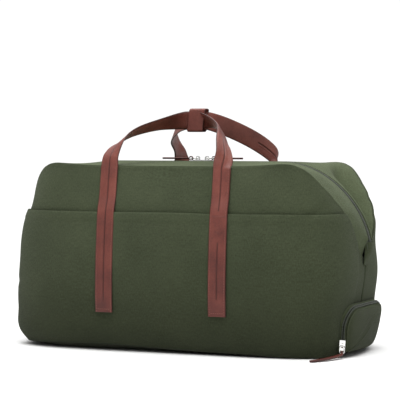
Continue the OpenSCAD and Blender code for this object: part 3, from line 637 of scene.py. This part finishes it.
def stitchRow(line, normal, pitch=4.0, length=2.9):
    # evenly spaced short raised threads along a line: returns their places and frames
    run = np.concatenate([[0], np.cumsum(np.linalg.norm(np.diff(line, axis=0), axis=1))])
    at = np.arange(pitch / 2, run[-1] - pitch / 2, pitch)
    p = np.stack([np.interp(at, run, line[:, k]) for k in range(3)], -1)
    n = unit(np.stack([np.interp(at, run, normal[:, k]) for k in range(3)], -1))
    t = np.gradient(line, axis=0)
    a = unit(np.stack([np.interp(at, run, t[:, k]) for k in range(3)], -1))
    return p, np.stack([a * length, np.cross(n, a), n], -1)


def stitches(name, rows, material, bodyName, blendTo=None):
    places = np.concatenate([r[0] for r in rows])
    frames = np.concatenate([r[1] for r in rows])
    verts = (places[:, None] + np.einsum("nij,kj->nki", frames, stitchShape)).reshape(-1, 3)
    faces = [tuple(v + k * len(stitchShape) for v in f) for k in range(len(places)) for f in stitchFaces]
    return meshPiece(name, verts, faces, material, bodyName)


handle = dict(width=30, thick=2.6, foot=63, root=127.69, pitch=98, footShift=2.2, rise=73, meet=1.7)
# each branch: distance from the middle, in from the root, up from the seam, turn of the grain face, its tilt
branches = {
    "frontLeft": [(98, 0, 0, 0, 0), (97, 4, 17, 14, 5), (90, 19, 36, 40, 20), (77, 47, 53, 84, 48), (50, 86, 66, 135, 50),
                  (20, 119, 72.8, 168, 18), (0, 126, 73, 180, 5)],
    "frontRight": [(98, 0, 0, 5, 0), (99, 5, 18, 52, 10), (90, 20, 38, 74, 20), (74, 50, 55, 112, 30),
                   (46, 88, 67, 135, 40), (18, 120, 73, 160, 36), (0, 126, 73, 180, 5)],
    "rearRight": [(90, 0, 0, 35, 0), (89, 3, 7, 78, -4), (86, 10, 16, 92, -10), (76, 30, 30, 93, -16),
                  (60, 58, 45.5, 108, -14), (38, 92, 61, 140, -4), (18, 119, 71, 160, 12), (0, 126, 73, 180, 5)],
    "rearLeft": [(88, 0, 0, 30, 0), (88, 3, 7, 52, 2), (86, 10, 16, 72, 5), (86, 24, 32, 105, 10), (79, 50, 49, 115, 20),
                 (48, 88, 64, 135, 30), (18, 119, 71, 160, 28), (0, 126, 73, 180, 5)]}


def strapFace(x, z, side):
    # distance of a sewn strap's underside from the middle plane: the wall, its slack, and the slip pocket under it
    a = np.full_like(z, math.pi / 2)
    near = np.abs(x) / (bag["length"] / 2 - ease(endInset, share(z)))
    p = ease(planPower, share(z))
    y = (bag["depth"] / 2 - ease(sideInset, share(z))) * (1 - near ** p) ** (1 / p)
    point = np.stack([x, side * y, z], -1)
    lifted = 4.0 * (1 - step(222, 236, z)) if side < 0 else 0.3
    return y + clothOff(point) + 0.4 + lifted


def handleBranch(name):
    # one strap from its foot up the wall and over to the middle: its centre line and look
    side = -1 if name.startswith("front") else 1
    hand = -1 if name.endswith("Left") else 1
    rows = np.array(branches[name], float)
    loop = np.stack([hand * rows[:, 0], side * (handle["root"] - rows[:, 1]), bag["topZ"] + rows[:, 2],
                     rows[:, 3], rows[:, 4]], -1)
    z = np.linspace(handle["foot"], bag["topZ"] - 8, 40)
    top = rows[0, 0]
    shift = handle["footShift"] * hand if side < 0 else 0
    x = handle["pitch"] + (top - handle["pitch"]) * step(240, 296, z) + shift * (1 - share(z))
    y = strapFace(x, z, side) + handle["thick"] / 2
    wall = np.stack([hand * x, side * y, z, 0 * z, 0 * z], -1)
    # the branch leaves along the wall's line, so its first points join smoothly
    path = throughPoints(np.vstack([wall[::4], wall[-1:], loop]), 420)
    p = path[:, :3].copy()
    p[:, 1] = np.where(side * p[:, 1] < handle["meet"], side * handle["meet"], p[:, 1])
    p[:, 2] = np.minimum(p[:, 2], bag["topZ"] + handle["rise"])
    turn, tilt = np.radians(path[:, 3]), np.radians(path[:, 4])
    look = np.stack([hand * np.sin(turn) * np.cos(tilt), side * np.cos(turn) * np.cos(tilt), np.sin(tilt)], -1)
    return p, look


def wholeHandle(side):
    left, lookLeft = handleBranch("frontLeft" if side < 0 else "rearLeft")
    right, lookRight = handleBranch("frontRight" if side < 0 else "rearRight")
    p = np.vstack([left, right[::-1][1:]])
    look = np.vstack([lookLeft, lookRight[::-1][1:]])
    for _ in range(6):
        look[1:-1] = (look[:-2] + 2 * look[1:-1] + look[2:]) / 4
    return p, unit(look)


for side, place in ((-1, "front"), (1, "rear")):
    name, bodyName = place + "HandleStrap", place + "_handle"
    nodes = (place + "_strap_left", place + "_strap_right", place + "_handle")
    p, look = wholeHandle(side)
    along, across, normal = framesAlong(p, look)
    z = p[:, 2]
    onRight = p[:, 0] > 0
    sewn = np.abs(p[:, 0]) > 70
    groove = step(80, 86, z) * (1 - step(334, 352, z)) * sewn
    if side < 0:
        plainPart = onRight & (z < 226)
        groove = np.where(plainPart, step(88, 92, z) * (1 - step(176, 180, z)), groove)
    tab = np.where(onRight & (side < 0), step(217.5, 218.5, z), 0.0)

    def face(uu, z=z, onRight=onRight, side=side, tab=tab):
        # the upper layer's end shows as a step, with a shallow round pressed mark below it
        r = np.sqrt(uu ** 2 + (z[:, None] - 196.5) ** 2)
        mark = (-0.55 * bump(r, 5.2, 0.8) + 0.3 * bump(r, 0, 3.2)) * (onRight[:, None] & (side < 0))
        return 0.9 * tab[:, None] + mark

    half = np.full(len(p), handle["width"] / 2)
    profile, rim = bandProfile(len(p), half, handle["thick"], groove, face)
    strap = sweep(name, p, across, normal, profile, leather, None, rim=rim)
    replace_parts(strap, *nodes)
    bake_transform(strap)
    # rows of stitching near both edges of the sewn straps, and across each foot
    rows = []
    outerFace = normal * (handle["thick"] / 2 - 0.25)
    for hand in (-1, 1):
        pick = (p[:, 0] * hand > 0) & (z < 330) & sewn
        for u in (-12.6, 12.6):
            lift = 0.9 * tab[pick][:, None] * normal[pick]
            rows.append(stitchRow(p[pick] + across[pick] * u + outerFace[pick] + lift, normal[pick]))
        foot = np.where(pick)[0][np.argmin(np.abs(z[pick] - handle["foot"] - 5))]
        u = np.linspace(-11, 11, 12)[:, None]
        rows.append(stitchRow(p[foot] + across[foot] * u + outerFace[foot], np.repeat(normal[foot][None], 12, 0),
                              3.6, 2.6))
    seam = stitches(name + "Stitching", rows, redThread, None)
    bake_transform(seam)

wrap = dict(width=28, half=18.2, deep=8.0, thick=2.2, lean=0.13)
for side, place in ((-1, "front"), (1, "rear")):
    name, node, bodyName = place + "GripWrap", place + "_grip", place + "_handle"
    # a leather C round the strap: its middle line in the plane square to the handle, with rounded corners
    corner = np.radians(np.linspace(90, 0, 9))
    r = 3.6
    yUp = (wrap["deep"] - r) + r * np.cos(corner)
    zUpper = (wrap["half"] - r) + r * np.sin(corner)
    y = np.concatenate([[0.35, 1.8], yUp, yUp[::-1], [1.8, 0.35]])
    zz = np.concatenate([[wrap["half"] - 0.4, wrap["half"]], zUpper, -zUpper[::-1], [-wrap["half"], -wrap["half"] + 0.4]])
    line = np.stack([wrap["lean"] * zz, side * y, bag["topZ"] + handle["rise"] + zz], -1)
    line = throughPoints(line, 90)
    look = unit(np.stack([0 * line[:, 0], line[:, 1], (line[:, 2] - bag["topZ"] - handle["rise"]) * 0.45], -1))
    along, across, normal = framesAlong(line, look)
    across = np.broadcast_to([1.0 if across[45, 0] > 0 else -1.0, 0, 0], across.shape)
    profile, rim = bandProfile(len(line), np.full(len(line), wrap["width"] / 2), wrap["thick"], np.zeros(len(line)))
    piece = sweep(name, line, across, normal, profile, leather, bodyName, rim=rim)
    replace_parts(piece, node)
print("straps and handles made")

# end pocket
pocket = dict(halfWidth=86, foot=10, top=80, corner=36, boxing=10, crown=3.4, sideLean=3, topLean=7,
              over=3.8, slope=0.059, flatten=0.55, tuck=12)


def endWall(y, z):
    # the oblong solved for x: a (1 - |y / b|^p)^(1/p)
    p = ease(planPower, share(z))
    half = bag["depth"] / 2 - ease(sideInset, share(z))
    return (bag["length"] / 2 - ease(pocketEndInset, share(z))) * (1 - (np.abs(y) / half) ** p) ** (1 / p)


def standX(y, z):
    # the end wall at the pocket's top level, moved clear of the slip pocket, leaning out with height
    return endWall(y, np.full_like(y, float(pocket["top"]))) + pocket["over"] - pocket["slope"] * (pocket["top"] - z)


def archLine(count):
    # up one side, round the corners and down the other: y, z and the outward direction, evenly spaced
    c, w, r = pocket["top"] - pocket["corner"], pocket["halfWidth"] - pocket["corner"], pocket["corner"]
    t = np.radians(np.linspace(0, 90, 40))
    up, zeros = np.linspace(pocket["foot"], c, 30), np.zeros(30)
    roundPart, high = w + r * np.cos(t), c + r * np.sin(t)
    y = np.concatenate([zeros - w - r, -roundPart, np.linspace(-w, w, 40), roundPart[::-1], zeros + w + r])
    z = np.concatenate([up, high, np.full(40, c + r), high[::-1], up[::-1]])
    ny = np.concatenate([zeros - 1.0, -np.cos(t), np.zeros(40), np.cos(t)[::-1], zeros + 1.0])
    nz = np.concatenate([zeros, np.sin(t), np.ones(40), np.sin(t)[::-1], zeros])
    run = np.concatenate([[0], np.cumsum(np.hypot(np.diff(y), np.diff(z)))])
    even = np.linspace(0, run[-1], count)
    return [np.interp(even, run, v) for v in (y, z, ny, nz)] + [run[-1]]


def boxingPoint(y, z, ny, nz, out):
    # out from the stand by a distance, drawn in along the arch's outward direction by its lean
    inset = (pocket["sideLean"] + (pocket["topLean"] - pocket["sideLean"]) * np.maximum(0, nz)) * out / pocket["boxing"]
    return np.stack([standX(y, z) + out, y - ny * inset, z - nz * inset], -1)


def squashed(p):
    # the pocket's low rear corner lies flatter and further in: x and y move by a share that grows to that corner
    low = np.clip((pocket["top"] - p[..., 2]) / (pocket["top"] - pocket["foot"]), 0, 1) ** 1.2 * step(-20, 80, p[..., 1])
    wallX = endWall(np.clip(p[..., 1], -110, 110), p[..., 2]) + 1.2
    q = p.copy()
    q[..., 0] = np.where(p[..., 0] > wallX, wallX + (p[..., 0] - wallX) * (1 - pocket["flatten"] * low), p[..., 0])
    q[..., 1] = p[..., 1] - pocket["tuck"] * low * step(20, 86, p[..., 1])
    return q


archY, archZ, archNy, archNz, archRun = archLine(150)
lean = (pocket["sideLean"] + (pocket["topLean"] - pocket["sideLean"]) * np.maximum(0, archNz)) / pocket["boxing"]
archNormal = unit(np.stack([lean, archNy, archNz], -1))
archMid = boxingPoint(archY, archZ, archNy, archNz, pocket["boxing"] / 2)
archAcross = unit(boxingPoint(archY, archZ, archNy, archNz, 1) - boxingPoint(archY, archZ, archNy, archNz, 0))
for name, node, a, b in (("pocketBoxingInner", "pocket_boxing_inner", -4.7, -0.7),
                         ("pocketBoxingOuter", "pocket_boxing_outer", 0.7, 4.9)):
    v = np.linspace(a, b, 6)
    reach = np.maximum(0, standX(archY, archZ) - endWall(archY, archZ) - 0.6) * (a < 0)
    toWall = -reach[:, None] * (v[None, :] == a)
    raised = (0.5 * bump(np.abs(v), 4.2, 1.0))[None, :, None]
    sheet = archMid[:, None] + archAcross[:, None] * (v[None, :] + toWall)[..., None] + archNormal[:, None] * raised
    strip = clothPiece(name, squashed(sheet), gussetCanvas, 1.0, centre=(285, 0, 20))
    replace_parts(strip, node)
count = int(archRun / zipShape["pitch"])
ty, tz, tny, tnz, _ = archLine(count)
tMid = boxingPoint(ty, tz, tny, tnz, pocket["boxing"] / 2)
tAcross = unit(boxingPoint(ty, tz, tny, tnz, 1) - boxingPoint(ty, tz, tny, tnz, 0))
tLean = (pocket["sideLean"] + (pocket["topLean"] - pocket["sideLean"]) * np.maximum(0, tnz)) / pocket["boxing"]
tNormal = unit(np.stack([tLean, tny, tnz], -1))
tAlong = unit(np.gradient(tMid, axis=0))
for name, node, sign in (("pocketTeethInner", "pocket_teeth_inner", -1), ("pocketTeethOuter", "pocket_teeth_outer", 1)):
    frames = np.stack([tAlong * zipShape["tooth"], tAcross * sign * zipShape["row"],
                       tNormal * (zipShape["high"] - 0.15)], -1)
    turned = np.linalg.det(frames[0]) < 0
    teeth = many(name, tooth, [f[::-1] for f in toothFaces] if turned else toothFaces,
                 squashed(tMid) + tAcross * sign * zipShape["gap"] + tNormal * 0.15, frames, nylon, "shell")
    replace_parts(teeth, node)


def pocketFace():
    # the arch closed by its foot line, shrunk ring by ring to the middle and crowned outwards, with soft creases
    y = np.concatenate([archY, np.linspace(pocket["halfWidth"], -pocket["halfWidth"], 60)[1:-1]])
    z = np.concatenate([archZ, np.full(58, float(pocket["foot"]))])
    ny = np.concatenate([archNy, np.zeros(58)])
    nz = np.concatenate([archNz, np.full(58, -1.0)])
    k = np.concatenate([np.linspace(0.02, 0.9, 20), [0.94, 0.97, 0.99, 1.0]])[None, :]
    shrink = pocket["sideLean"] + (pocket["topLean"] - pocket["sideLean"]) * np.maximum(0, nz)
    midZ = pocket["foot"] + (pocket["top"] - pocket["foot"]) * 0.45
    yy = (y - ny * shrink)[:, None] * k
    zz = midZ + (z - np.maximum(0, nz) * shrink - midZ)[:, None] * k
    crease = 1.5 * bump(zz - 0.5 * (yy + 30), 38, 5) * bump(yy, -20, 46) + 0.7 * np.sin(yy / 17.0) * np.sin(zz / 13.0)
    x = standX(yy, zz) + pocket["boxing"] + 2.4 + pocket["crown"] * (1 - k ** 4) - crease * (1 - k ** 2)
    x = x - 1.2 * step(0.94, 1.0, k)
    return squashed(np.stack([x, yy, zz], -1))


face = pocketFace()
ringCount, spokes = face.shape[1], face.shape[0]
faceGrid = face.transpose(1, 0, 2)
faces = [list(f) for f in gridFaces(ringCount, spokes, True)] + [list(range(spokes))[::-1]]
flat = np.stack([faceGrid[..., 1], faceGrid[..., 2]], -1) * mm
pocketPanel = meshPiece("pocketPanel", faceGrid, faces, canvas, "shell", uv=flat, turn=False)
wall = pocketPanel.modifiers.new("thickness", "SOLIDIFY")
wall.thickness, wall.offset = 2 * mm, -1
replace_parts(pocketPanel, "pocket_panel")
# a narrow bound edge round the panel
edgeLine = np.vstack([face[:, -1], face[:2, -1]])[:-1] + np.array([-0.6, 0, 0])
t = np.linspace(0, 2 * math.pi, 9)[:-1]
outDir = unit(np.stack([0 * edgeLine[:, 0], edgeLine[:, 1], edgeLine[:, 2] - 42], -1))
roundPart = np.broadcast_to(np.stack([1.25 * np.cos(t), 1.25 * np.sin(t)], -1)[None], (len(edgeLine), 8, 2))
sweep("pocketBinding", edgeLine, np.broadcast_to([1.0, 0, 0], edgeLine.shape), outDir, roundPart, gussetCanvas,
      "shell")
print("end pocket made")

# sliders, rings and pulls
metal = dict(wire=0.95, ringWidth=9, bail=6.7, reach=12.2)


def ringWire(name, node, bodyName, origin, xAxis, yAxis, zAxis):
    # round wire bent to a slot shape: two straights and two half circles
    r = (metal["ringWidth"] - 1.8) / 2
    run = metal["reach"] - 2 * r
    t = np.linspace(-90, 90, 20)
    far = np.stack([r + run + r * np.cos(np.radians(t)), r * np.sin(np.radians(t))], -1)
    near = np.stack([r - r * np.cos(np.radians(t)), -r * np.sin(np.radians(t))], -1)
    flatLine = np.vstack([far, near, far[:1]])
    line = origin + xAxis * flatLine[:, :1] + yAxis * flatLine[:, 1:] + zAxis * metal["bail"]
    outward = unit(np.gradient(line, axis=0))
    outward = unit(np.cross(outward, zAxis))
    a = np.linspace(0, 2 * math.pi, 11)[:-1]
    circle = metal["wire"] * np.stack([np.cos(a), np.sin(a)], -1)
    section = np.broadcast_to(circle[None], (len(line), 10, 2))
    obj = sweep(name, line, outward, np.broadcast_to(zAxis, line.shape), section, nickel, bodyName)
    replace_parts(obj, node)
    return obj


def pullTab(name, node, bodyName, line, look, width, thick):
    # a leather strip along a line: narrow where it folds round the ring, full width beyond, with a rounded tip
    along, across, normal = framesAlong(line, look)
    run = np.concatenate([[0], np.cumsum(np.linalg.norm(np.diff(line, axis=0), axis=1))])
    neck = 1.7 + (width / 2 - 1.7) * step(2, 10, run)
    tip = np.sqrt(np.clip(1 - np.clip((run - (run[-1] - width / 2)) / (width / 2), 0, 0.985) ** 2, 0, 1))
    profile, rim = bandProfile(len(line), neck * tip, thick, np.zeros(len(line)), points=17)
    obj = sweep(name, line, across, normal, profile, leather, bodyName, rim=rim)
    return obj


def foldRound(name, bodyName, centre, barAxis, awayAxis, width):
    # the strip's turn round the ring's bar: most of a circle
    side = np.cross(barAxis, awayAxis)
    t = np.radians(np.linspace(35, 325, 30))[:, None]
    line = centre + 2.95 * (awayAxis * np.cos(t) + side * np.sin(t))
    look = unit(line - centre)
    along, across, normal = framesAlong(line, look)
    profile, rim = bandProfile(len(line), np.full(len(line), width / 2), 1.4, np.zeros(len(line)), points=13)
    return sweep(name, line, across, normal, profile, leather, bodyName, rim=rim)


zUp, yAcross = np.array([0, 0, 1.0]), np.array([0, 1.0, 0])
for hand, label in ((-1, "Left"), (1, "Right")):
    low = label.lower()
    origin = np.array([8 + hand * 8.2, 0, bag["trackZ"]])
    toPull = np.array([float(hand), 0, 0])
    ringWire("topRing" + label, "top_ring_" + low, "top_ring_" + low, origin, toPull, yAcross, zUp)
    bar = origin + toPull * metal["reach"] + zUp * metal["bail"]
    line = bar + toPull * np.linspace(3.1, 51.5, 60)[:, None]
    tab = pullTab("topPull" + label, "top_pull_" + low, "top_pull_" + low, line, np.broadcast_to(zUp, line.shape), 9, 2.9)
    foldRound("topPullFold" + label, "top_pull_" + low, bar, yAcross, toPull, 3.3)
    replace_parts(tab, "top_pull_" + low)

sideY, sliderZ = -pocket["halfWidth"], 20.0
atSlider = [np.array([float(v)]) for v in (sideY, sliderZ, -1, 0)]
lowPoint = boxingPoint(*atSlider, pocket["boxing"] / 2)[0]
away = unit(np.array([0.3, -1.0, 0]))
upSlope = unit(np.array([pocket["slope"], 0, 1.0]))
crossAway = np.cross(-upSlope, away)
ringWire("pocketRing", "pocket_ring", "pocket_ring", lowPoint, -upSlope, crossAway, away)
hang = lowPoint + away * metal["bail"] - upSlope * metal["reach"]
pullRoute = [hang + away * 3.2, hang + away * 8 - zUp * 1.2, (hang[0] - 4, hang[1] - 24, 4.4),
             (hang[0] - 12, hang[1] - 44, 3.0), (hang[0] - 26, hang[1] - 70, 1.8)]
line = throughPoints(pullRoute, 70)
look = np.broadcast_to(zUp, line.shape)
tab = pullTab("pocketPull", "pocket_pull", "pocket_pull", line, look, 9, 2.9)
foldRound("pocketPullFold", "pocket_pull", hang, crossAway, away, 3.3)
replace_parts(tab, "pocket_pull")

for node, material in (("top_slider_left", nickel), ("top_slider_right", nickel), ("pocket_slider", nickel),
                       ("grip_stud", nickel),
                       ("base_board", greyBoard), ("lining", liningCloth)):
    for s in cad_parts[node].material_slots:
        s.material = material
print("hardware made")

# room, light and camera
room = dict(floor=(0.86, 0.86, 0.855), sky=0.42, sun=3.1, spread=1.7, top=15.0, front=2.0)
floorMesh = bpy.data.meshes.new("paleFloor")
floorMesh.from_pydata([(-9, -9, 0), (9, -9, 0), (9, 9, 0), (-9, 9, 0)], [], [(0, 1, 2, 3)])
floor = bpy.data.objects.new("paleFloor", floorMesh)
bpy.context.scene.collection.objects.link(floor)
floorMaterial, _, floorShader = nodesFor("palePaper", 0.9, specular=0.1)
floorShader.inputs["Base Color"].default_value = (*room["floor"], 1)
floorMesh.materials.append(floorMaterial)

world = bpy.data.worlds.new("softRoom")
bpy.context.scene.world = world
world.use_nodes = True
sky = world.node_tree.nodes["Background"]
sky.inputs["Color"].default_value = (1, 1, 1, 1)
# the paper behind the bag is plain white, while the room's own light stays low
seen = world.node_tree.nodes.new("ShaderNodeLightPath").outputs["Is Camera Ray"]
brightness = world.node_tree.nodes.new("ShaderNodeMapRange")
brightness.inputs["To Min"].default_value = room["sky"]
brightness.inputs["To Max"].default_value = 1.05
world.node_tree.links.new(seen, brightness.inputs["Value"])
world.node_tree.links.new(brightness.outputs[0], sky.inputs["Strength"])


def softbox(name, place, aim, size, power):
    light = bpy.data.lights.new(name, "AREA")
    light.shape = "RECTANGLE"
    light.size, light.size_y = size
    light.energy = power
    lamp = bpy.data.objects.new(name, light)
    lamp.location = place
    lamp.rotation_euler = (Vector(aim) - Vector(place)).to_track_quat("-Z", "Y").to_euler()
    bpy.context.scene.collection.objects.link(lamp)
    return lamp


sunLight = bpy.data.lights.new("ceiling", "SUN")
sunLight.energy, sunLight.angle = room["sun"], room["spread"]
sunLamp = bpy.data.objects.new("ceiling", sunLight)
sunLamp.location = (0, -0.4, 3)
sunLamp.rotation_euler = (math.radians(-14), 0, 0)
bpy.context.scene.collection.objects.link(sunLamp)
softbox("overhead", (0.0, -0.45, 1.35), (0.0, 0.0, 0.1), (1.5, 1.0), room["top"])
softbox("frontFill", (-0.9, -2.6, 1.7), (0, 0, 0.2), (1.4, 1.2), room["front"])

view = dict(place=(1.26036, -2.84645, 0.34809), aim=(0.0036, 0, 0.23814), lens=170.59)
cameraData = bpy.data.cameras.new("camera")
cameraData.lens = view["lens"]
cameraData.sensor_width = 36
cameraData.clip_end = 60
camera = bpy.data.objects.new("camera", cameraData)
camera.location = view["place"]
camera.rotation_euler = (Vector(view["aim"]) - Vector(view["place"])).to_track_quat("-Z", "Y").to_euler()
bpy.context.scene.collection.objects.link(camera)
bpy.context.scene.camera = camera
bpy.context.scene.view_settings.view_transform = "Standard"

print("room, light and camera set")
